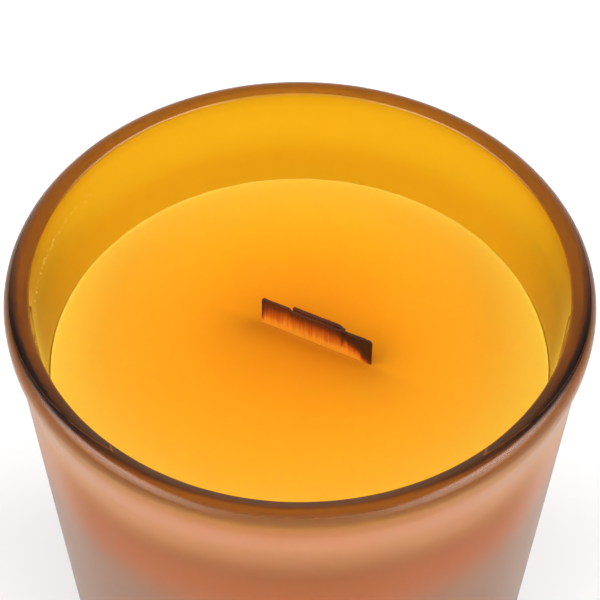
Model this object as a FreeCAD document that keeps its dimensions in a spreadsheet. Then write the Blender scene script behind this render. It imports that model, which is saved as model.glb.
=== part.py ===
"""A jar candle with a wooden wick: amber glass jar, wax fill, two wick slats, wick clip and sticker.

Millimetres. The origin is at the centre of the jar's foot, +Z points up, and the wick lies along X.
"""
import FreeCAD, Part
import os
import re
import Sketcher

os.makedirs("parts", exist_ok=True)
doc = FreeCAD.newDocument("JarCandle")

DIMENSIONS = [
    # jar, outside
    ("jar_height", 100.0),
    ("foot_radius", 38.0),          # where the outer cone would meet the table
    ("cone_rim_radius", 43.4),      # where the outer cone would meet the level of the lip
    ("rim_outer_radius", 44.0),     # the bead stands a little proud of the cone
    ("bead_depth", 9.0),            # from the top of the lip down to where the bead leaves the cone
    ("bead_shoulder", 3.5),         # from the top of the lip down to the widest part of the bead
    ("bead_foot_round", 15.0),
    ("bead_shoulder_round", 8.0),
    ("lip_outer_round", 2.0),
    ("heel_round", 5.0),
    ("stand_radius", 27.0),         # inner edge of the ring that the jar stands on
    ("stand_round", 1.2),
    ("punt_radius", 19.8),          # flat middle of the shallow hollow under the base
    ("punt_depth", 1.8),
    # jar, inside
    ("rim_inner_radius", 40.2),     # where the inner cone would meet the level of the lip
    ("lip_crown_radius", 41.6),     # the lip is flat outside this radius and slopes inward inside it
    ("lip_crown_round", 2.5),
    ("lip_slope_drop", 0.45),
    ("lip_inner_round", 0.5),
    ("floor_height", 9.0),          # glass under the wax
    ("inner_floor_radius", 33.2),
    ("inner_corner_round", 8.0),
    # wax
    ("wax_height", 81.4),           # level of the wax above the table
    # wick: two slats of wood, set a little off the jar's axis
    ("wick_x", 1.1),
    ("wick_y", 3.8),
    ("wick_height", 87.0),          # top of the wick above the table
    ("blade_width", 19.05),
    ("blade_thick", 0.5),
    ("booster_width", 9.0),
    ("booster_thick", 0.5),
    ("booster_shift", 0.2),         # the booster isn't glued on quite centrally
    # clip and sticker on the jar's floor
    ("sticker_radius", 10.0),
    ("sticker_thick", 0.8),
    ("clip_length", 26.0),
    ("clip_depth", 16.0),
    ("clip_metal", 0.4),
    ("clip_corner_round", 4.0),
    ("jaw_length", 12.0),
    ("jaw_height", 5.5),            # above the clip's plate
    ("jaw_corner_round", 2.0),
]

sheet = doc.addObject("Spreadsheet::Sheet", "Dimensions")
for row, (alias, value) in enumerate(DIMENSIONS, start=1):
    sheet.set(f"A{row}", alias)
    sheet.set(f"B{row}", str(value))
    sheet.setAlias(f"B{row}", alias)
doc.recompute()

ALIASES = re.compile(r"\b(" + "|".join(alias for alias, _ in DIMENSIONS) + r")\b")
ORIGIN_POINT = -1                           # a sketch's own origin
HORIZONTAL_AXIS, VERTICAL_AXIS = -1, -2     # and its own axes
START, END, CENTRE = 1, 2, 3                # points of a line or an arc
FULL_TURN = 360
NEAR = 1e-3                                 # millimetres within which an edge is the one looked for


def bound(expression):
    """An expression on the sheet's aliases, as the other objects of the document write it."""
    return ALIASES.sub(r"Dimensions.\1", expression)


def size(expression):
    """The number that such an expression gives now."""
    return float(sheet.evalExpression(expression))


def bind(item, name, expression):
    item.setExpression(name, bound(expression))


def new_body(name):
    body = doc.addObject("PartDesign::Body", name)
    body.Label = name
    return body


def origin_plane(body, role):
    return [item for item in body.Origin.OriginFeatures if item.Role == role][0]


def new_sketch(body, name, role):
    """An empty sketch on one of the body's own origin planes."""
    sketch = body.newObject("Sketcher::SketchObject", name)
    sketch.AttachmentSupport = [(origin_plane(body, role), "")]
    sketch.MapMode = "FlatFace"
    return sketch


def constrain(sketch, expression, *description):
    """A dimension of the sketch that follows the sheet."""
    number = sketch.addConstraint(Sketcher.Constraint(*description, size(expression)))
    bind(sketch, f"Constraints[{number}]", expression)


def draw_outline(sketch, corners):
    """A closed outline of straight lines. A corner's None puts it on the upright or level axis."""
    points = [
        FreeCAD.Vector(size(x) if x else 0, size(y) if y else 0, 0) for x, y in corners
    ]
    count = len(points)
    for index, point in enumerate(points):
        sketch.addGeometry(Part.LineSegment(point, points[(index + 1) % count]), False)
    for index, (across, up) in enumerate(corners):
        following = (index + 1) % count
        sketch.addConstraint(Sketcher.Constraint("Coincident", index, END, following, START))
        if across:
            constrain(sketch, across, "DistanceX", ORIGIN_POINT, START, index, START)
        else:
            sketch.addConstraint(
                Sketcher.Constraint("PointOnObject", index, START, VERTICAL_AXIS)
            )
        if up:
            constrain(sketch, up, "DistanceY", ORIGIN_POINT, START, index, START)
        else:
            sketch.addConstraint(
                Sketcher.Constraint("PointOnObject", index, START, HORIZONTAL_AXIS)
            )


def draw_rectangle(sketch, width, depth, low_edge=None):
    """A rectangle symmetric about the upright axis, and about the origin if it has no low edge."""
    half = size(width) / 2
    low = size(low_edge) if low_edge else -size(depth) / 2
    high = low + size(depth)
    corners = [(-half, low), (half, low), (half, high), (-half, high)]
    points = [FreeCAD.Vector(x, y, 0) for x, y in corners]
    count = len(points)
    for index, point in enumerate(points):
        sketch.addGeometry(Part.LineSegment(point, points[(index + 1) % count]), False)
    for index in range(count):
        following = (index + 1) % count
        sketch.addConstraint(Sketcher.Constraint("Coincident", index, END, following, START))
    bottom, right, top, left = range(4)
    for line in (right, left):
        sketch.addConstraint(Sketcher.Constraint("Vertical", line))
    sketch.addConstraint(Sketcher.Constraint("Horizontal", top))
    if low_edge:
        sketch.addConstraint(
            Sketcher.Constraint("Symmetric", bottom, START, bottom, END, VERTICAL_AXIS)
        )
        constrain(sketch, low_edge, "DistanceY", ORIGIN_POINT, START, bottom, START)
    else:
        sketch.addConstraint(
            Sketcher.Constraint("Symmetric", bottom, START, top, START, ORIGIN_POINT, START)
        )
    constrain(sketch, width, "DistanceX", bottom, START, bottom, END)
    constrain(sketch, depth, "DistanceY", right, START, right, END)


def revolve(body, sketch):
    feature = body.newObject("PartDesign::Revolution", sketch.Name + "_turned")
    feature.Profile = sketch
    feature.ReferenceAxis = (sketch, ["V_Axis"])
    feature.Angle = FULL_TURN
    sketch.Visibility = False
    return feature


def pad(body, sketch, length):
    feature = body.newObject("PartDesign::Pad", sketch.Name + "_pad")
    feature.Profile = sketch
    bind(feature, "Length", length)
    return feature


def edges_where(feature, wanted):
    """The names of a feature's edges that pass a test."""
    doc.recompute()
    named = enumerate(feature.Shape.Edges, start=1)
    return [f"Edge{number}" for number, edge in named if wanted(edge)]


def round_edges(body, feature, wanted, radius):
    """Rounds the edges that pass a test, with a radius from the sheet."""
    names = edges_where(feature, wanted)
    if not names:
        raise RuntimeError(f"no edge for {radius}")
    fillet = body.newObject("PartDesign::Fillet", radius.title().replace("_", ""))
    fillet.Base = (feature, names)
    bind(fillet, "Radius", radius)
    return fillet


def ring(radius, height):
    """A test for the circle of that radius about Z at that height."""
    def wanted(edge):
        circle = edge.Curve
        return (
            isinstance(circle, Part.Circle)
            and abs(circle.Radius - size(radius)) < NEAR
            and abs(edge.Vertexes[0].Point.z - size(height)) < NEAR
        )
    return wanted


def place(body, x, y, z):
    for axis, expression in zip("xyz", (x, y, z)):
        bind(body, f"Placement.Base.{axis}", expression)


# Radii on the two cones, at any height. The wax uses the same inner cone as the glass.
OUTER_AT = "foot_radius + ( cone_rim_radius - foot_radius ) * ( {} ) / jar_height"
INNER_AT = (
    "inner_floor_radius + ( rim_inner_radius - inner_floor_radius )"
    " * ( {} - floor_height ) / ( jar_height - floor_height )"
)
CLIP_BOTTOM = "floor_height + sticker_thick"
WICK_BOTTOM = "floor_height + sticker_thick + clip_metal"
STACK = "blade_thick + booster_thick"


def make_jar():
    """One piece of glass, turned from a half section: cone, bead, rounded lip, heavy punted base."""
    body = new_body("jar")
    sketch = new_sketch(body, "JarSection", "XZ_Plane")
    bead_foot = OUTER_AT.format("jar_height - bead_depth")
    slope_foot = INNER_AT.format("jar_height - lip_slope_drop")
    draw_outline(sketch, [
        (None, "punt_depth"),
        ("punt_radius", "punt_depth"),
        ("stand_radius", None),
        ("foot_radius", None),
        (bead_foot, "jar_height - bead_depth"),
        ("rim_outer_radius", "jar_height - bead_shoulder"),
        ("rim_outer_radius", "jar_height"),
        ("lip_crown_radius", "jar_height"),
        (slope_foot, "jar_height - lip_slope_drop"),
        ("inner_floor_radius", "floor_height"),
        (None, "floor_height"),
    ])
    glass = revolve(body, sketch)
    rounds = [
        ("foot_radius", "0", "heel_round"),
        ("stand_radius", "0", "stand_round"),
        (bead_foot, "jar_height - bead_depth", "bead_foot_round"),
        ("rim_outer_radius", "jar_height - bead_shoulder", "bead_shoulder_round"),
        ("rim_outer_radius", "jar_height", "lip_outer_round"),
        ("lip_crown_radius", "jar_height", "lip_crown_round"),
        (slope_foot, "jar_height - lip_slope_drop", "lip_inner_round"),
        ("inner_floor_radius", "floor_height", "inner_corner_round"),
    ]
    for radius, height, rounding in rounds:
        glass = round_edges(body, glass, ring(radius, height), rounding)
    return body


def make_slat(name, width, thickness, x, y):
    """One straight slat of the wooden wick, from the clip's plate to the wick's top."""
    body = new_body(name)
    sketch = new_sketch(body, name + "_section", "XY_Plane")
    draw_rectangle(sketch, width, thickness)
    pad(body, sketch, f"wick_height - ( {WICK_BOTTOM} )")
    place(body, x, y, WICK_BOTTOM)
    return body


def make_clip():
    """Stamped clip: a plate with two jaws cut out of it and bent up, which grip the slats."""
    body = new_body("wick_clip")
    plate_sketch = new_sketch(body, "ClipPlate", "XY_Plane")
    draw_rectangle(plate_sketch, "clip_length", "clip_depth")
    plate = pad(body, plate_sketch, "clip_metal")

    def upright(edge):
        return abs(edge.tangentAt(edge.FirstParameter).z) > 1 - NEAR

    round_edges(body, plate, upright, "clip_corner_round")

    jaw_sketch = new_sketch(body, "ClipJaw", "XY_Plane")
    draw_rectangle(jaw_sketch, "jaw_length", "clip_metal", f"( {STACK} ) / 2")
    jaw = pad(body, jaw_sketch, "clip_metal + jaw_height")

    def jaw_corner(edge):
        ends = [vertex.Point for vertex in edge.Vertexes]
        at_top = all(abs(end.z - size("clip_metal + jaw_height")) < NEAR for end in ends)
        return at_top and abs(abs(ends[0].y - ends[-1].y) - size("clip_metal")) < NEAR

    rounded_jaw = round_edges(body, jaw, jaw_corner, "jaw_corner_round")

    window_sketch = new_sketch(body, "ClipWindow", "XY_Plane")
    draw_rectangle(window_sketch, "jaw_length", "jaw_height", f"( {STACK} ) / 2 + clip_metal")
    doc.recompute()
    before = rounded_jaw.Shape.Volume
    window = body.newObject("PartDesign::Pocket", "ClipWindow_cut")
    window.Profile = window_sketch
    window.Reversed = True
    bind(window, "Length", "clip_metal")
    doc.recompute()
    cut = before - window.Shape.Volume
    if abs(cut - size("jaw_length * jaw_height * clip_metal")) > NEAR:
        raise RuntimeError(f"the window in the clip's plate cut {cut} cubic millimetres")

    both = body.newObject("PartDesign::Mirrored", "BothJaws")
    both.Originals = [jaw, rounded_jaw, window]
    both.MirrorPlane = (origin_plane(body, "XZ_Plane"), [""])
    body.Tip = both
    place(body, "wick_x", "wick_y", CLIP_BOTTOM)
    return body


def make_sticker():
    """The foam disc that fixes the clip to the jar's floor."""
    body = new_body("wick_sticker")
    sketch = new_sketch(body, "StickerDisc", "XY_Plane")
    axis = FreeCAD.Vector(0, 0, 1)
    sketch.addGeometry(Part.Circle(FreeCAD.Vector(), axis, size("sticker_radius")), False)
    sketch.addConstraint(Sketcher.Constraint("Coincident", 0, CENTRE, ORIGIN_POINT, START))
    constrain(sketch, "sticker_radius", "Radius", 0)
    pad(body, sketch, "sticker_thick")
    place(body, "wick_x", "wick_y", "floor_height")
    return body


def make_wax(inserts):
    """The wax as poured: the jar's inside up to its level, round the wick, clip and sticker."""
    body = new_body("WaxPour")
    sketch = new_sketch(body, "WaxSection", "XZ_Plane")
    draw_outline(sketch, [
        (None, "floor_height"),
        ("inner_floor_radius", "floor_height"),
        (INNER_AT.format("wax_height"), "wax_height"),
        (None, "wax_height"),
    ])
    pour = revolve(body, sketch)
    round_edges(body, pour, ring("inner_floor_radius", "floor_height"), "inner_corner_round")
    held = doc.addObject("Part::MultiFuse", "HeldInTheWax")
    held.Shapes = inserts
    wax = doc.addObject("Part::Cut", "WaxCut")
    wax.Label = "wax"
    wax.Base = body
    wax.Tool = held
    return wax


jar = make_jar()
blade_y = "wick_y - booster_thick / 2"
booster_y = "wick_y + blade_thick / 2"
blade = make_slat("wick_blade", "blade_width", "blade_thick", "wick_x", blade_y)
booster = make_slat(
    "wick_booster", "booster_width", "booster_thick", "wick_x + booster_shift", booster_y
)
clip = make_clip()
sticker = make_sticker()
wax = make_wax([blade, booster, clip, sticker])
doc.recompute()

failed = [item.Name for item in doc.Objects if {"Invalid", "Error"} & set(item.State)]
if failed:
    raise RuntimeError(f"failed objects: {failed}")

nodes = [jar, wax, blade, booster, clip, sticker]
for node in nodes:
    shape = node.Shape
    if shape.isNull() or not shape.isValid() or len(shape.Solids) != 1:
        raise RuntimeError(f"{node.Label} is not one valid solid")

for node in nodes:
    node.Shape.exportStep(f"parts/{node.Label}.step")
    box = node.Shape.optimalBoundingBox(False, False)
    span = f"{box.XLength:.2f} x {box.YLength:.2f} x {box.ZLength:.2f}"
    print(f"{node.Label}: {node.Shape.Volume:.1f} mm3, {span} mm, z {box.ZMin:.2f} to {box.ZMax:.2f}")
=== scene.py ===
import math
import random

import bmesh
import bpy
from mathutils import Matrix, Quaternion, Vector, noise


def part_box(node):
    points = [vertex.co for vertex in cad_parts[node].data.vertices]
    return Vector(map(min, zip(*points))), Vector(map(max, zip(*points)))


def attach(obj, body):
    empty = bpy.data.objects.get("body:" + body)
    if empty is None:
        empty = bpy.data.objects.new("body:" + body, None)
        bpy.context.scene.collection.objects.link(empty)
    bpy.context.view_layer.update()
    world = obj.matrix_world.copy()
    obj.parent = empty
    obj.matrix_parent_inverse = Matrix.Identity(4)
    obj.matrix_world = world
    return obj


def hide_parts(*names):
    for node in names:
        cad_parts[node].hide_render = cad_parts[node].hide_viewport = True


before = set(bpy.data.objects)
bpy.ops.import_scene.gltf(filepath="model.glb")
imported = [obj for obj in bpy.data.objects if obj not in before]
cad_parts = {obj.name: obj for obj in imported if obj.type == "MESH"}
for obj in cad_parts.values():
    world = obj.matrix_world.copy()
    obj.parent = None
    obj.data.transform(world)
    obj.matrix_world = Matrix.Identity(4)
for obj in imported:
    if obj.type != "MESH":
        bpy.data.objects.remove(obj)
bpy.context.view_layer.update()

MM = 0.001

# Sizes. What the frame holds is read from it; the rest repeats the CAD model's driving dimensions.

jar_low, jar_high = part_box("jar")
wax_low, wax_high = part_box("wax")
blade_low, blade_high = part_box("wick_blade")
booster_low, booster_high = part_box("wick_booster")
sticker_low, sticker_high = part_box("wick_sticker")
HEIGHT = jar_high.z
LIP_RADIUS = jar_high.x
FLOOR_Z = wax_low.z
WAX_Z = wax_high.z
WAX_RADIUS = wax_high.x

FOOT_RADIUS = 38.0 * MM
FOOT_ROUND = 5.0 * MM
STAND_RADIUS = 27.0 * MM
STAND_ROUND = 1.2 * MM
PUNT_RADIUS = 19.8 * MM
PUNT_DEPTH = 1.8 * MM
PUNT_ROUND = 6.0 * MM
CONE_RIM_RADIUS = 43.4 * MM         # of the outer cone, carried on up to the jar's full height
BEAD_DEPTH = 9.0 * MM               # the bead starts this far below the lip
BEAD_START_ROUND = 15.0 * MM
BEAD_SHOULDER = 3.5 * MM
BEAD_ROUND = 8.0 * MM
LIP_OUTER_ROUND = 2.0 * MM
LIP_CROWN_RADIUS = 41.6 * MM
LIP_CROWN_ROUND = 2.5 * MM
LIP_SLOPE_DROP = 0.45 * MM
LIP_INNER_RADIUS = 40.2 * MM
LIP_INNER_ROUND = 0.5 * MM
INNER_FLOOR_RADIUS = 33.2 * MM
INNER_CORNER_ROUND = 8.0 * MM
STICKER_ROUND = 0.15 * MM

AZIMUTH = math.radians(27)          # the camera looks at the wick from 27 degrees off its broad face

# How finely the turned pieces are divided.

TURN_STEPS = 360
ARC_STEP = math.radians(7.5)
WALL_STEP = 2 * MM                  # longest stretch between two rings of the jar
TOP_STEP = 0.5 * MM                 # and of the wax's top
STICKER_STEP = 1 * MM
EDGE_RINGS = (0.998, 0.996, 0.992, 0.988, 0.984, 0.979)     # shares of the wax's radius near its edge
AXIS_TOLERANCE = 1e-9
LEVEL_TOLERANCE = 1e-6

# How the wax meets what it touches.

BOND = 0.06 * MM                    # it wets the glass, so its skin reaches this far into it
MENISCUS = 0.25 * MM                # it climbs this far up at the glass
MENISCUS_REACH = 0.4 * MM
GAP_WIDTH = 0.10 * MM               # it has shrunk away from the glass at its edge
GAP_DEPTH = 1.5 * MM
GAP_REACH = 0.5 * MM
CLIMB = 0.22 * MM                   # it climbs this far up the wick
CLIMB_REACH = 0.3 * MM
SWELL = 0.10 * MM                   # its top has set with this slow unevenness
RIPPLE = 0.012 * MM
STICKER_OVERLAP = 0.02 * MM         # the sticker reaches past the wax's skin into the jar's floor


def inner_radius(z):
    """Radius of the jar's inner wall at a height."""
    share = (z - FLOOR_Z) / (HEIGHT - FLOOR_Z)
    return INNER_FLOOR_RADIUS + (LIP_INNER_RADIUS - INNER_FLOOR_RADIUS) * share


def outer_radius(z):
    """Radius of the jar's outer cone at a height, without the bead."""
    return FOOT_RADIUS + (CONE_RIM_RADIUS - FOOT_RADIUS) * z / HEIGHT


def smoothstep(value, low, high):
    """0 up to low, 1 from high on, and a smooth rise between them."""
    share = min(max((value - low) / (high - low), 0), 1)
    return share * share * (3 - 2 * share)


def hump(value, centre, width):
    """1 at the centre, falling off to both sides over about the width."""
    return math.exp(-((value - centre) / width) ** 2)


def waves(place, length, seed=(0, 0, 0)):
    """Smooth noise between -1 and 1 with waves of about the given length."""
    return noise.noise(place / length + Vector(seed))


def wick_distance(place):
    """Level distance from a point to the wick."""
    beside = max(blade_low.x - place.x, place.x - blade_high.x, 0)
    at_booster = booster_low.x < place.x < booster_high.x
    back = booster_high.y if at_booster else blade_high.y
    before = max(blade_low.y - place.y, place.y - back, 0)
    return math.hypot(beside, before)


# Mesh helpers

def rounded(corners):
    """An open outline through (radius, z, rounding) corners, each rounded by an arc."""
    points = []
    for index, (r, z, rounding) in enumerate(corners):
        here = Vector((r, z))
        if rounding == 0:
            points.append(here)
            continue
        back = (Vector(corners[index - 1][:2]) - here).normalized()
        ahead = (Vector(corners[index + 1][:2]) - here).normalized()
        half = back.angle(ahead) / 2
        reach = rounding / math.tan(half)
        centre = here + (back + ahead).normalized() * rounding / math.sin(half)
        start = here + back * reach - centre
        turn = start.angle_signed(here + ahead * reach - centre)
        steps = max(2, math.ceil(abs(turn) / ARC_STEP))
        for step in range(steps + 1):
            angle = -turn * step / steps
            points.append(centre + Matrix.Rotation(angle, 2) @ start)
    return points


def stepped(outline, longest):
    """The outline with points added, so that no stretch of it is longer than that."""
    points = []
    for point, following in zip(outline, outline[1:]):
        points.append(point)
        count = math.ceil((following - point).length / longest)
        points += [point.lerp(following, step / count) for step in range(1, count)]
    return points + [outline[-1]]


def new_piece(name, mesh_builder):
    """A piece from a function that fills a bmesh, smooth shaded."""
    mesh = bpy.data.meshes.new(name)
    built = bmesh.new()
    mesh_builder(built)
    bmesh.ops.recalc_face_normals(built, faces=built.faces)
    for face in built.faces:
        face.smooth = True
    built.to_mesh(mesh)
    built.free()
    piece = bpy.data.objects.new(name, mesh)
    bpy.context.scene.collection.objects.link(piece)
    return piece


def turned(built, outline, shape=None):
    """Turns an outline about Z into a closed skin. The outline starts and ends on the axis."""
    rings = []
    for point in outline:
        if point.x < AXIS_TOLERANCE:
            rings.append([built.verts.new((0, 0, point.y))])
            continue
        ring = []
        for step in range(TURN_STEPS):
            angle = 2 * math.pi * step / TURN_STEPS
            place = Vector((point.x * math.cos(angle), point.x * math.sin(angle), point.y))
            ring.append(built.verts.new(shape(place) if shape else place))
        rings.append(ring)
    for lower, upper in zip(rings, rings[1:]):
        for step in range(TURN_STEPS):
            following = (step + 1) % TURN_STEPS
            corners = [
                lower[step % len(lower)], lower[following % len(lower)],
                upper[following % len(upper)], upper[step % len(upper)],
            ]
            built.faces.new(list(dict.fromkeys(corners)))


def paint(piece, name, value_at):
    """Writes value_at(place) at every point of a piece as an attribute that its material reads."""
    values = piece.data.attributes.new(name, "FLOAT", "POINT")
    for vertex in piece.data.vertices:
        values.data[vertex.index].value = value_at(vertex.co)


# The jar

def jar_outline():
    """The jar's half section, from the middle of its underside to the middle of its floor."""
    bead_start = HEIGHT - BEAD_DEPTH
    slope_end = HEIGHT - LIP_SLOPE_DROP
    return stepped(rounded([
        (0, PUNT_DEPTH, 0),
        (PUNT_RADIUS, PUNT_DEPTH, PUNT_ROUND),
        (STAND_RADIUS, 0, STAND_ROUND),
        (FOOT_RADIUS, 0, FOOT_ROUND),
        (outer_radius(bead_start), bead_start, BEAD_START_ROUND),
        (LIP_RADIUS, HEIGHT - BEAD_SHOULDER, BEAD_ROUND),
        (LIP_RADIUS, HEIGHT, LIP_OUTER_ROUND),
        (LIP_CROWN_RADIUS, HEIGHT, LIP_CROWN_ROUND),
        (inner_radius(slope_end), slope_end, LIP_INNER_ROUND),
        (INNER_FLOOR_RADIUS, FLOOR_Z, INNER_CORNER_ROUND),
        (0, FLOOR_Z, 0),
    ]), WALL_STEP)


def outside_middle(place):
    """Whether a point of the jar lies on the outer side of its wall."""
    return math.hypot(place.x, place.y) > (inner_radius(place.z) + outer_radius(place.z)) / 2


def jar_shape(place):
    """The slight waves of pressed glass, in the inner wall above the wax and along the lip."""
    fine = 0.03 * MM * waves(place, 5 * MM)
    broad = 0.05 * MM * waves(place, 14 * MM, (5, 0, 0))
    above_wax = smoothstep(place.z, WAX_Z + 1 * MM, WAX_Z + 5 * MM)
    shift = (fine + broad) * above_wax * (0.5 if outside_middle(place) else 1)
    scale = 1 + shift / math.hypot(place.x, place.y)
    return Vector((place.x * scale, place.y * scale, place.z))


FROST_EDGE_RADIUS = 43.65 * MM      # the frosting starts near it, on the lip's outer rounding
FROST_EDGE_SLANT = 2                # and this much further in for each step down
FOOT_CLEAR = 1 * MM                 # the underside isn't frosted, nor the foot up to this height
CROWN_HAZE = 0.2                    # haze on the lip
BEAD_HAZE = 0.2
WALL_HAZE = 0.08
BAND_HAZE = 0.42                    # and round the wax's top


def is_outer_wall(place):
    return outside_middle(place) and place.z > FOOT_CLEAR


def frosting(place):
    """How far the glass is frosted: 1 on the outer wall, and 0 on the lip and inside."""
    if not is_outer_wall(place):
        return 0.0
    depth = HEIGHT - place.z
    past_edge = math.hypot(place.x, place.y) - FROST_EDGE_RADIUS + depth * FROST_EDGE_SLANT
    return smoothstep(past_edge, -0.5 * MM, 0.3 * MM)


def haze(place):
    """How much of the light the glass's skin scatters, by the depth below the lip."""
    depth = HEIGHT - place.z
    if not is_outer_wall(place):
        return CROWN_HAZE * (1 - smoothstep(depth, 0.5 * MM, 1.2 * MM))
    bead = frosting(place) * (1 - smoothstep(depth, 2 * MM, 6 * MM))
    wall = smoothstep(depth, 2 * MM, 7 * MM)
    band = smoothstep(depth, 10 * MM, 15.5 * MM) * (1 - smoothstep(depth, 20 * MM, 34 * MM))
    return WALL_HAZE * wall + BAND_HAZE * band + BEAD_HAZE * bead


# The wax

def wax_outline():
    """The wax's half section, from the middle of its underside to the middle of its top."""
    edge = inner_radius(WAX_Z) + BOND
    gap_foot = WAX_Z - GAP_DEPTH
    skin = rounded([
        (0, FLOOR_Z - BOND, 0),
        (INNER_FLOOR_RADIUS + BOND, FLOOR_Z - BOND, INNER_CORNER_ROUND),
        (inner_radius(gap_foot) + BOND, gap_foot, 0),
        (edge, WAX_Z, 0),
    ])
    top = [Vector((edge * share, WAX_Z)) for share in EDGE_RINGS]
    return skin + top[:-1] + stepped([top[-1], Vector((0, WAX_Z))], TOP_STEP)


def wax_shape(place):
    """The wax's top: it climbs at the glass and at the wick and has set with a slight swell."""
    if place.z < WAX_Z - LEVEL_TOLERANCE:
        return place
    r = math.hypot(place.x, place.y)
    to_glass = inner_radius(WAX_Z) + BOND - r
    ragged = 1 + 0.5 * waves(place, 2.2 * MM)
    climb = MENISCUS * ragged * math.exp(-to_glass / MENISCUS_REACH)
    climb += CLIMB * math.exp(-wick_distance(place) / CLIMB_REACH)
    swell = SWELL * waves(place, 13 * MM) + RIPPLE * waves(place, 2 * MM)
    uneven = 1 + 0.6 * waves(place, 3 * MM, (0, 0, 8))
    gap = (BOND + GAP_WIDTH * uneven) * math.exp(-to_glass / GAP_REACH)
    share = 1 - gap / r
    return Vector((place.x * share, place.y * share, WAX_Z + climb + swell))


# Painted shadow of the wick on the wax's top.
SHADE_REACH = 4.5 * MM
SHADE_BEHIND = 0.35                  # share of the painted shadow that lies behind the wick too


def wick_shadow(place):
    """How deep the wick's painted shadow on the wax is: most of all close to it, on its near side."""
    before = 1 - smoothstep(place.y, blade_low.y - 1 * MM, booster_high.y)
    near = math.exp(-wick_distance(place) / SHADE_REACH)
    return near * (SHADE_BEHIND + (1 - SHADE_BEHIND) * before)


SPECK_COUNT = 90
SPECK_DEPTH = 4.5 * MM              # how far below the lip their line runs
SPECK_TURN = 103                    # degrees from the near side round to the left, to the line's middle
SPECK_TURN_SPREAD = 13
SPECK_FALL = 0.8 * MM
SPECK_SINK = 0.02 * MM


def specks(built):
    """Tiny drops of wax that dried on the inner wall, in a line that runs below the lip."""
    chance = random.Random(7)
    for _ in range(SPECK_COUNT):
        aside = math.radians(chance.gauss(SPECK_TURN, SPECK_TURN_SPREAD))
        turn = AZIMUTH - math.pi / 2 - aside
        z = HEIGHT - SPECK_DEPTH - abs(chance.gauss(0, SPECK_FALL))
        size = chance.uniform(0.04, 0.09) * MM
        r = inner_radius(z) - SPECK_SINK
        place = Vector((r * math.cos(turn), r * math.sin(turn), z))
        flatten = Matrix.Rotation(turn, 4, "Z") @ Matrix.Diagonal((0.5, 1, 1.3, 1))
        bmesh.ops.create_icosphere(
            built, subdivisions=2, radius=size, matrix=Matrix.Translation(place) @ flatten
        )


# The wick's slats. A slat is a row of closed sections, each with its own burnt height.

SLAT_STEP = 0.1 * MM
SLAT_ROWS = 34                      # levels on a face, from just below the wax's surface up
SLAT_ROWS_START = WAX_Z - 2 * MM
TOP_ROWS = 5
TOP_RAGGED = 0.10 * MM
EDGE_LIFT = 0.08 * MM               # the burnt edge's mean height, over the CAD slat's flat top
STEP_X = booster_low.x - 0.15 * MM  # right of it the blade has burnt down further
STEP_DROP = 0.30 * MM
STEP_WIDTH = 0.30 * MM
NOTCH_DEPTH = 0.16 * MM
NOTCH_WIDTH = 0.2 * MM
CRACK_X = booster_high.x - 0.1 * MM
CRACK_DEPTH = 3.9 * MM
CRACK_SUNK = 0.22 * MM
CRACK_WIDTH = 0.16 * MM
CRACK_TAPER = 0.6
GRAIN_WIDTH = 0.28 * MM
GRAIN_LENGTH = 6 * MM


def slat(built, low, high, burnt_top, relief):
    """A slat between two corners. burnt_top gives its height at x, and relief how far a face sinks."""
    columns = round((high.x - low.x) / SLAT_STEP)
    sections = []
    for column in range(columns + 1):
        x = low.x + (high.x - low.x) * column / columns
        top = burnt_top(x)
        rise = (top - SLAT_ROWS_START) / SLAT_ROWS
        levels = [low.z] + [SLAT_ROWS_START + rise * row for row in range(SLAT_ROWS + 1)]
        section = [Vector((x, low.y + relief(x, z, top, -1), z)) for z in levels]
        for row in range(1, TOP_ROWS):
            y = low.y + (high.y - low.y) * row / TOP_ROWS
            ragged = TOP_RAGGED * waves(Vector((x, y, 0)), 0.35 * MM)
            section.append(Vector((x, y, top + ragged)))
        section += [Vector((x, high.y - relief(x, z, top, 1), z)) for z in reversed(levels)]
        sections.append([built.verts.new(point) for point in section])
    for before, after in zip(sections, sections[1:]):
        for index in range(len(before)):
            following = (index + 1) % len(before)
            built.faces.new((before[index], before[following], after[following], after[index]))
    built.faces.new(sections[0])
    built.faces.new(sections[-1])


def ragged_edge(x, seed):
    """Unevenness of a burnt edge: a slow wave, and chips along the grain."""
    slow = noise.noise(Vector((x / (2.6 * MM), seed, 0)))
    chips = noise.noise(Vector((x / (0.45 * MM), seed, 3)))
    return 0.10 * MM * slow + 0.07 * MM * chips


def blade_top(x):
    """The blade's burnt height: a step with a notch at its foot, and rounded ends."""
    burnt = STEP_DROP * smoothstep(x, STEP_X - STEP_WIDTH, STEP_X)
    burnt += NOTCH_DEPTH * hump(x, STEP_X, NOTCH_WIDTH)
    burnt += 0.25 * MM * (1 - smoothstep(x, blade_low.x, blade_low.x + 0.25 * MM))
    burnt += 0.3 * MM * smoothstep(x, blade_high.x - 0.4 * MM, blade_high.x)
    return blade_high.z + EDGE_LIFT - burnt + ragged_edge(x, 0)


def booster_top(x):
    """The booster's burnt height, which falls off towards its right end."""
    burnt = 0.5 * MM * smoothstep(x, booster_high.x - 1.2 * MM, booster_high.x)
    return booster_high.z + EDGE_LIFT - burnt + ragged_edge(x, 9)


def grain(x, z, seed):
    """Grooves along the grain, from 0 to about 2."""
    return 1 + noise.noise(Vector((x / GRAIN_WIDTH, z / GRAIN_LENGTH, seed)))


def blade_relief(x, z, top, side):
    """Grain, a worn edge, and a crack down from the booster's right end on the near side."""
    sunk = 0.025 * MM * grain(x, z, side)
    depth = top - z
    if side < 0 and depth < CRACK_DEPTH:
        width = CRACK_WIDTH * (1 - CRACK_TAPER * depth / CRACK_DEPTH)
        sunk += CRACK_SUNK * hump(x, CRACK_X, width)
    return sunk + 0.06 * MM * smoothstep(z, top - 0.25 * MM, top)


def booster_relief(x, z, top, side):
    return 0.02 * MM * grain(x, z, side + 5)


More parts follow.
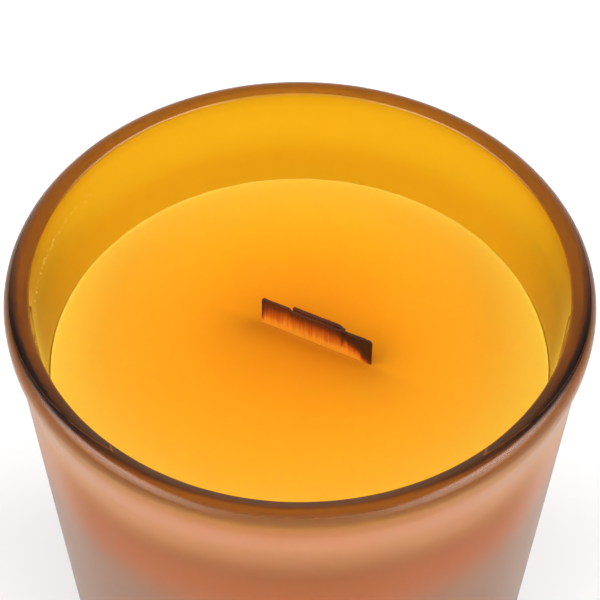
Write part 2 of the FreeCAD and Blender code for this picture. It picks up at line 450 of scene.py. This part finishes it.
def wood_tone(place, top_at):
    """How the wood looks at a point: 0 is char, and 1 is wood that is soaked with wax."""
    x, z = place.x, place.z
    top = top_at(x)
    down = min(max((top - z) / (top - WAX_Z), 0), 1)                # 0 at the burnt edge, 1 at the wax
    across = (x - blade_low.x) / (blade_high.x - blade_low.x)       # 0 at the left end, 1 at the right

    # It is paler downwards, later so at the two ends.
    tone = 0.10 + 0.58 * smoothstep(down, -0.02, 0.55) + 0.32 * smoothstep(down, 0.4, 0.85)
    middle = smoothstep(across, 0.02, 0.3) * (1 - 0.5 * smoothstep(across, 0.35, 0.75))
    tone *= 0.72 + 0.28 * max(middle, smoothstep(down, 0.4, 0.8))

    # The right end is charred up to a slanting, wandering border, the left end in a narrow strip.
    slant = 0.40 * down - 0.06 * smoothstep(down, 0.5, 1)
    wander = 0.05 * noise.noise(Vector((x / (0.7 * MM), z / (2.4 * MM), 2)))
    tone *= 1 - smoothstep(across - slant + wander, 0.57, 0.74)
    tone *= 1 - 0.7 * (1 - smoothstep(across, 0.0, 0.035)) * (1 - smoothstep(down, 0.6, 1.0))

    # The crack is painted dark as shade in it, less so towards its lower end.
    if top - z < CRACK_DEPTH:
        open_here = 1 - smoothstep(top - z, 0.4 * CRACK_DEPTH, CRACK_DEPTH)
        tone *= 1 - 0.75 * open_here * hump(x, CRACK_X, 0.2 * MM)

    # Streaks run along the grain, faint in the char and at the wax.
    streak = noise.noise(Vector((x / (0.22 * MM), z / (4.5 * MM), 7)))
    streak += 0.6 * noise.noise(Vector((x / (0.6 * MM), z / (9 * MM), 1)))
    tone += 0.16 * streak * smoothstep(tone, 0.02, 0.5) * (1 - 0.6 * smoothstep(down, 0.7, 1))
    return min(max(tone, 0), 1)


# The sticker

def sticker_shape(built):
    """A disc with rounded edges, from just below the jar's floor to the clip."""
    centre = (sticker_low + sticker_high) / 2
    radius = (sticker_high.x - sticker_low.x) / 2
    low = sticker_low.z - BOND - STICKER_OVERLAP
    high = sticker_high.z
    outline = rounded([
        (0, low, 0), (radius, low, STICKER_ROUND), (radius, high, STICKER_ROUND), (0, high, 0),
    ])
    turned(built, stepped(outline, STICKER_STEP))
    bmesh.ops.translate(built, verts=built.verts, vec=(centre.x, centre.y, 0))


# Node helpers

def new_material(name):
    material = bpy.data.materials.new(name)
    material.use_nodes = True
    nodes = material.node_tree.nodes
    return material, nodes, material.node_tree.links, nodes["Principled BSDF"]


def set_inputs(node, values):
    for name, value in values.items():
        node.inputs[name].default_value = value


def attribute(nodes, name):
    node = nodes.new("ShaderNodeAttribute")
    node.attribute_name = name
    return node.outputs["Fac"]


def calculated(nodes, links, operation, *values):
    """A Math node's result. Each value is a number or the output of another node."""
    node = nodes.new("ShaderNodeMath")
    node.operation = operation
    for socket, value in zip(node.inputs, values):
        if isinstance(value, (int, float)):
            socket.default_value = value
        else:
            links.new(value, socket)
    return node.outputs[0]


def mapped(nodes, links, value, source, target, interpolation="SMOOTHSTEP"):
    """The value, carried from a (low, high) range over to another and kept within it."""
    node = nodes.new("ShaderNodeMapRange")
    node.interpolation_type = interpolation
    links.new(value, node.inputs["Value"])
    node.inputs["From Min"].default_value, node.inputs["From Max"].default_value = source
    node.inputs["To Min"].default_value, node.inputs["To Max"].default_value = target
    return node.outputs["Result"]


def coloured(nodes, links, value, stops, interpolation="LINEAR"):
    """The colour for a value, from (position, colour) stops in rising order."""
    node = nodes.new("ShaderNodeValToRGB")
    links.new(value, node.inputs["Fac"])
    node.color_ramp.interpolation = interpolation
    ends = node.color_ramp.elements
    while len(ends) < len(stops):
        ends.new(0.5)
    for end, (position, colour) in zip(ends, stops):
        end.position = position
        end.color = (*colour, 1)
    return node.outputs["Color"]


def fine_noise(nodes, links, scale, stretch=(1, 1, 1), detail=3):
    """Noise in object space, scaled per metre and stretched along the axes."""
    place = nodes.new("ShaderNodeTexCoord").outputs["Object"]
    mapping = nodes.new("ShaderNodeMapping")
    mapping.inputs["Scale"].default_value = stretch
    links.new(place, mapping.inputs["Vector"])
    texture = nodes.new("ShaderNodeTexNoise")
    texture.inputs["Scale"].default_value = scale
    texture.inputs["Detail"].default_value = detail
    links.new(mapping.outputs["Vector"], texture.inputs["Vector"])
    return texture.outputs["Fac"]


def bumped(nodes, links, shader, height, distance, strength=1.0):
    bump = nodes.new("ShaderNodeBump")
    bump.inputs["Distance"].default_value = distance
    bump.inputs["Strength"].default_value = strength
    links.new(height, bump.inputs["Height"])
    links.new(bump.outputs["Normal"], shader.inputs["Normal"])


# Materials

def glass_material():
    """Amber glass, clear or frosted. Clear glass is deeper in tone where it is seen at a low angle."""
    material, nodes, links, shader = new_material("amber_glass")
    output = nodes["Material Output"]
    frosted = attribute(nodes, "frost")
    weight = nodes.new("ShaderNodeLayerWeight")
    weight.inputs["Blend"].default_value = 0.5
    grazing = weight.outputs["Facing"]

    deep = mapped(nodes, links, grazing, (0.40, 0.90), (0, 1))
    clear_and_deep = calculated(nodes, links, "SUBTRACT", deep, frosted)
    tint = coloured(nodes, links, clear_and_deep, [
        (0.0, (0.89, 0.465, 0.010)),
        (1.0, (0.09, 0.020, 0.001)),
    ])
    links.new(tint, shader.inputs["Base Color"])
    rough = mapped(nodes, links, frosted, (0, 1), (0.03, 0.32), "LINEAR")
    links.new(rough, shader.inputs["Roughness"])
    transmission = mapped(nodes, links, frosted, (0, 1), (1.0, 0.98), "LINEAR")
    links.new(transmission, shader.inputs["Transmission Weight"])
    shader.inputs["IOR"].default_value = 1.52

    absorption = nodes.new("ShaderNodeVolumeAbsorption")
    set_inputs(absorption, {"Color": (0.46, 0.31, 0.0, 1), "Density": 100})
    links.new(absorption.outputs[0], output.inputs["Volume"])

    scatter = nodes.new("ShaderNodeBsdfTranslucent")
    scatter.inputs["Color"].default_value = (0.88, 0.44, 0.003, 1)
    seen_through = mapped(nodes, links, grazing, (0.70, 0.88), (1.0, 0.1))
    share = calculated(nodes, links, "MULTIPLY", attribute(nodes, "milk"), seen_through)
    mix = nodes.new("ShaderNodeMixShader")
    links.new(share, mix.inputs[0])
    links.new(shader.outputs[0], mix.inputs[1])
    links.new(scatter.outputs[0], mix.inputs[2])
    links.new(mix.outputs[0], output.inputs["Surface"])
    return material


SHADE_MIDDLE_SHIFT = (2.3 * MM, -4.5 * MM, 0)       # the painted shade's darker middle is moved behind the wick, to even out the light on the wax's top


def wax_material():
    """Orange wax, with a painted shadow round the wick, painted light that makes it paler towards the
    glass, and painted shade that makes it darker low in the jar.
    """
    material, nodes, links, shader = new_material("candle_wax")
    place = nodes.new("ShaderNodeNewGeometry").outputs["Position"]
    level = nodes.new("ShaderNodeVectorMath")
    level.operation = "MULTIPLY_ADD"
    links.new(place, level.inputs[0])
    level.inputs[1].default_value = (1, 1, 0)
    level.inputs[2].default_value = SHADE_MIDDLE_SHIFT
    reach = nodes.new("ShaderNodeVectorMath")
    reach.operation = "LENGTH"
    links.new(level.outputs[0], reach.inputs[0])
    # Painted light: the wax is painted paler and yellower towards the glass, as if lit through the
    # walls, and darker in its middle.
    outwards = mapped(nodes, links, reach.outputs["Value"], (0, WAX_RADIUS), (0, 1), "LINEAR")
    edge_lit_tone = coloured(nodes, links, outwards, [
        (0.2, (0.64, 0.213, 0.0035)),
        (0.45, (0.72, 0.268, 0.005)),
        (0.78, (0.84, 0.38, 0.013)),
        (1.0, (0.97, 0.665, 0.078)),
    ], "B_SPLINE")

    # Painted shadow of the wick: the wax's colour is darkened by this much where the attribute is 1.
    shadowed_tone = nodes.new("ShaderNodeMixRGB")
    shadowed_tone.blend_type = "MULTIPLY"
    links.new(attribute(nodes, "wick_shade"), shadowed_tone.inputs[0])
    links.new(edge_lit_tone, shadowed_tone.inputs[1])
    shadowed_tone.inputs[2].default_value = (0.66, 0.60, 1.0, 1)

    # Painted shade: the wax is painted darker lower in the jar, where less light reaches it.
    height = nodes.new("ShaderNodeSeparateXYZ")
    links.new(place, height.inputs[0])
    brightness = mapped(
        nodes, links, height.outputs["Z"], (WAX_Z - 16 * MM, WAX_Z - 8 * MM), (0.62, 1.0)
    )
    tone = nodes.new("ShaderNodeVectorMath")
    tone.operation = "SCALE"
    links.new(shadowed_tone.outputs[0], tone.inputs[0])
    links.new(brightness, tone.inputs["Scale"])
    links.new(tone.outputs[0], shader.inputs["Base Color"])
    set_inputs(shader, {
        "Roughness": 0.5,
        "IOR": 1.44,
        "Specular IOR Level": 0.08,
        "Subsurface Weight": 0.6,
        "Subsurface Radius": (1.0, 0.5, 0.15),
        "Subsurface Scale": 1.5 * MM,
    })
    return material


def drop_material():
    """Dried wax, paler in some patches. Its tone changes from drop to drop."""
    material, nodes, links, shader = new_material("wax_drops")
    patches = fine_noise(nodes, links, 700, detail=1)
    tone = coloured(nodes, links, patches, [
        (0.4, (0.90, 0.50, 0.10)),
        (0.6, (1.0, 0.78, 0.30)),
    ])
    links.new(tone, shader.inputs["Base Color"])
    shader.inputs["Roughness"].default_value = 0.25
    return material


def wick_material():
    """Wood with fine fibres along the grain, coloured from char to wax-soaked."""
    material, nodes, links, shader = new_material("wick_wood")
    tone = coloured(nodes, links, attribute(nodes, "tone"), [
        (0.0, (0.036, 0.011, 0.005)),
        (0.25, (0.12, 0.024, 0.005)),
        (0.5, (0.34, 0.068, 0.006)),
        (0.75, (0.56, 0.150, 0.011)),
        (1.0, (0.74, 0.305, 0.020)),
    ])
    links.new(tone, shader.inputs["Base Color"])
    set_inputs(shader, {
        "Roughness": 0.5,
        "Specular IOR Level": 0.2,
        "Subsurface Weight": 0.25,
        "Subsurface Radius": (1.0, 0.35, 0.1),
        "Subsurface Scale": 1.5 * MM,
    })
    fibres = fine_noise(nodes, links, 5000, (1, 1, 0.06))
    bumped(nodes, links, shader, fibres, 0.03 * MM, 0.8)
    return material


def steel_material():
    """Bare steel, rolled along X."""
    material, nodes, links, shader = new_material("clip_steel")
    brushed = fine_noise(nodes, links, 900, (0.05, 1, 1), 4)
    grey = mapped(nodes, links, brushed, (0, 1), (0.42, 0.62), "LINEAR")
    links.new(grey, shader.inputs["Base Color"])
    rough = mapped(nodes, links, brushed, (0, 1), (0.22, 0.45), "LINEAR")
    links.new(rough, shader.inputs["Roughness"])
    shader.inputs["Metallic"].default_value = 1
    return material


def foam_material():
    """Off-white foam with fine cells."""
    material, nodes, links, shader = new_material("sticker_foam")
    cells = fine_noise(nodes, links, 2500, detail=5)
    tone = coloured(nodes, links, cells, [
        (0.35, (0.62, 0.60, 0.55)),
        (0.65, (0.86, 0.85, 0.80)),
    ])
    links.new(tone, shader.inputs["Base Color"])
    shader.inputs["Roughness"].default_value = 0.85
    bumped(nodes, links, shader, cells, 0.1 * MM)
    return material


# The pieces

jar = new_piece("jar_glass", lambda built: turned(built, jar_outline(), jar_shape))
paint(jar, "frost", frosting)
paint(jar, "milk", haze)
jar.data.materials.append(glass_material())
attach(jar, "root")
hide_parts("jar")

wax = new_piece("wax_fill", lambda built: turned(built, wax_outline(), wax_shape))
paint(wax, "wick_shade", wick_shadow)
wax.data.materials.append(wax_material())
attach(wax, "root")
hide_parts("wax")

drops = new_piece("wall_specks", specks)
drops.data.materials.append(drop_material())
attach(drops, "root")

wood = wick_material()
slats = [
    ("blade_slat", "wick_blade", blade_low, blade_high, blade_top, blade_relief),
    ("booster_slat", "wick_booster", booster_low, booster_high, booster_top, booster_relief),
]
for name, node, slat_low, slat_high, top_at, relief in slats:
    piece = new_piece(name, lambda built: slat(built, slat_low, slat_high, top_at, relief))
    paint(piece, "tone", lambda place: wood_tone(place, top_at))
    piece.data.materials.append(wood)
    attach(piece, "root")
    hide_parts(node)

sticker = new_piece("sticker_disc", sticker_shape)
sticker.data.materials.append(foam_material())
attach(sticker, "root")
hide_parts("wick_sticker")

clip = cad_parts["wick_clip"]
clip.data.materials.clear()
clip.data.materials.append(steel_material())

# Stage, light and camera. A direction is given by its rise, the sine of its height over the horizon.

STAGE_RADIUS = 4
STAGE_COLOUR = (0.92, 0.915, 0.915, 1)
HORIZON_LIGHT = 1.15        # a bright ring low round the stage
HORIZON_START = 0.11        # the rise from which it fades
HORIZON_FADE = 0.03
BACK_LIGHT = 0.75           # the light above it
BACK_TOP = 0.38             # the rise from which that falls off to the dome
DOME_START = 0.62
DOME_LIGHT = 0.32
SIDE_SHADE = 0.9            # how much of both is taken away towards the two sides
SIDE_START = 0.45
SIDE_FULL = 0.85
LEFT_LIGHT = 4.4            # a soft box on each side, in the camera's half of the room
RIGHT_LIGHT = 4.75
BOX_EDGE = 0.42
BOX_LOW = 0.42
BOX_FADE = 0.12
BOX_BACK_START = 0.05       # how far into the far half the boxes reach
BOX_BACK_END = 0.4
FRONT_LIGHT = 0.6           # a weak round light above the camera
FRONT_LEVEL = 0.8
FRONT_RISE = 0.6
FRONT_START = 0.6
FRONT_FULL = 0.95

CAMERA_LENS = 111
CAMERA_SENSOR = 36
CAMERA_REACH = 183.2 * MM
CAMERA_RISE = 304.5 * MM
CAMERA_AIM = Vector((0, 0, 94.66 * MM))
CAMERA_ROLL = math.radians(0.35)


def stage_floor():
    def disc(built):
        bmesh.ops.create_circle(built, cap_ends=True, segments=96, radius=STAGE_RADIUS)
    floor = new_piece("stage_floor", disc)
    material, nodes, links, shader = new_material("stage_paper")
    set_inputs(shader, {"Base Color": STAGE_COLOUR, "Roughness": 0.6})
    floor.data.materials.append(material)


def world_light():
    """A soft studio light: back light with dark sides, two boxes and a weak front light."""
    world = bpy.data.worlds.new("studio")
    bpy.context.scene.world = world
    world.use_nodes = True
    nodes, links = world.node_tree.nodes, world.node_tree.links
    direction = nodes.new("ShaderNodeTexCoord").outputs["Generated"]

    def calc(operation, *values):
        return calculated(nodes, links, operation, *values)

    def smooth(value, low, high, at_low, at_high):
        return mapped(nodes, links, value, (low, high), (at_low, at_high))

    def along(vector):
        node = nodes.new("ShaderNodeVectorMath")
        node.operation = "DOT_PRODUCT"
        links.new(direction, node.inputs[0])
        node.inputs[1].default_value = vector
        return node.outputs["Value"]

    to_camera = Vector((math.sin(AZIMUTH), -math.cos(AZIMUTH), 0))
    rise = along((0, 0, 1))
    across = along((math.cos(AZIMUTH), math.sin(AZIMUTH), 0))
    behind = along(-to_camera)
    facing = along(to_camera * FRONT_LEVEL + Vector((0, 0, FRONT_RISE)))

    back = smooth(rise, BACK_TOP, DOME_START, BACK_LIGHT, DOME_LIGHT)
    shade = smooth(calc("ABSOLUTE", across), SIDE_START, SIDE_FULL, 1, 1 - SIDE_SHADE)
    horizon = smooth(rise, HORIZON_START, HORIZON_START + HORIZON_FADE, HORIZON_LIGHT, 0)
    total = calc("MAXIMUM", calc("MULTIPLY", back, shade), horizon)
    above = smooth(rise, BOX_LOW - BOX_FADE, BOX_LOW + BOX_FADE, 0, 1)
    ahead = smooth(behind, BOX_BACK_START, BOX_BACK_END, 1, 0)
    for side, light in ((-1, LEFT_LIGHT), (1, RIGHT_LIGHT)):
        reach = calc("MULTIPLY", across, side)
        inside = smooth(reach, BOX_EDGE - BOX_FADE, BOX_EDGE + BOX_FADE, 0, light)
        total = calc("ADD", total, calc("MULTIPLY", calc("MULTIPLY", inside, above), ahead))
    total = calc("ADD", total, smooth(facing, FRONT_START, FRONT_FULL, 0, FRONT_LIGHT))

    background = nodes["Background"]
    background.inputs["Color"].default_value = (1, 1, 1, 1)
    links.new(total, background.inputs["Strength"])


def camera():
    data = bpy.data.cameras.new("camera")
    data.lens = CAMERA_LENS
    data.sensor_width = CAMERA_SENSOR
    data.clip_start = 0.01
    data.clip_end = 20
    cam = bpy.data.objects.new("camera", data)
    bpy.context.scene.collection.objects.link(cam)
    cam.location = (
        CAMERA_REACH * math.sin(AZIMUTH), -CAMERA_REACH * math.cos(AZIMUTH), CAMERA_RISE
    )
    look = (CAMERA_AIM - cam.location).to_track_quat("-Z", "Y")
    cam.rotation_mode = "QUATERNION"
    cam.rotation_quaternion = look @ Quaternion((0, 0, 1), CAMERA_ROLL)
    bpy.context.scene.camera = cam


stage_floor()
world_light()
camera()
bpy.context.scene.view_settings.view_transform = "Standard"
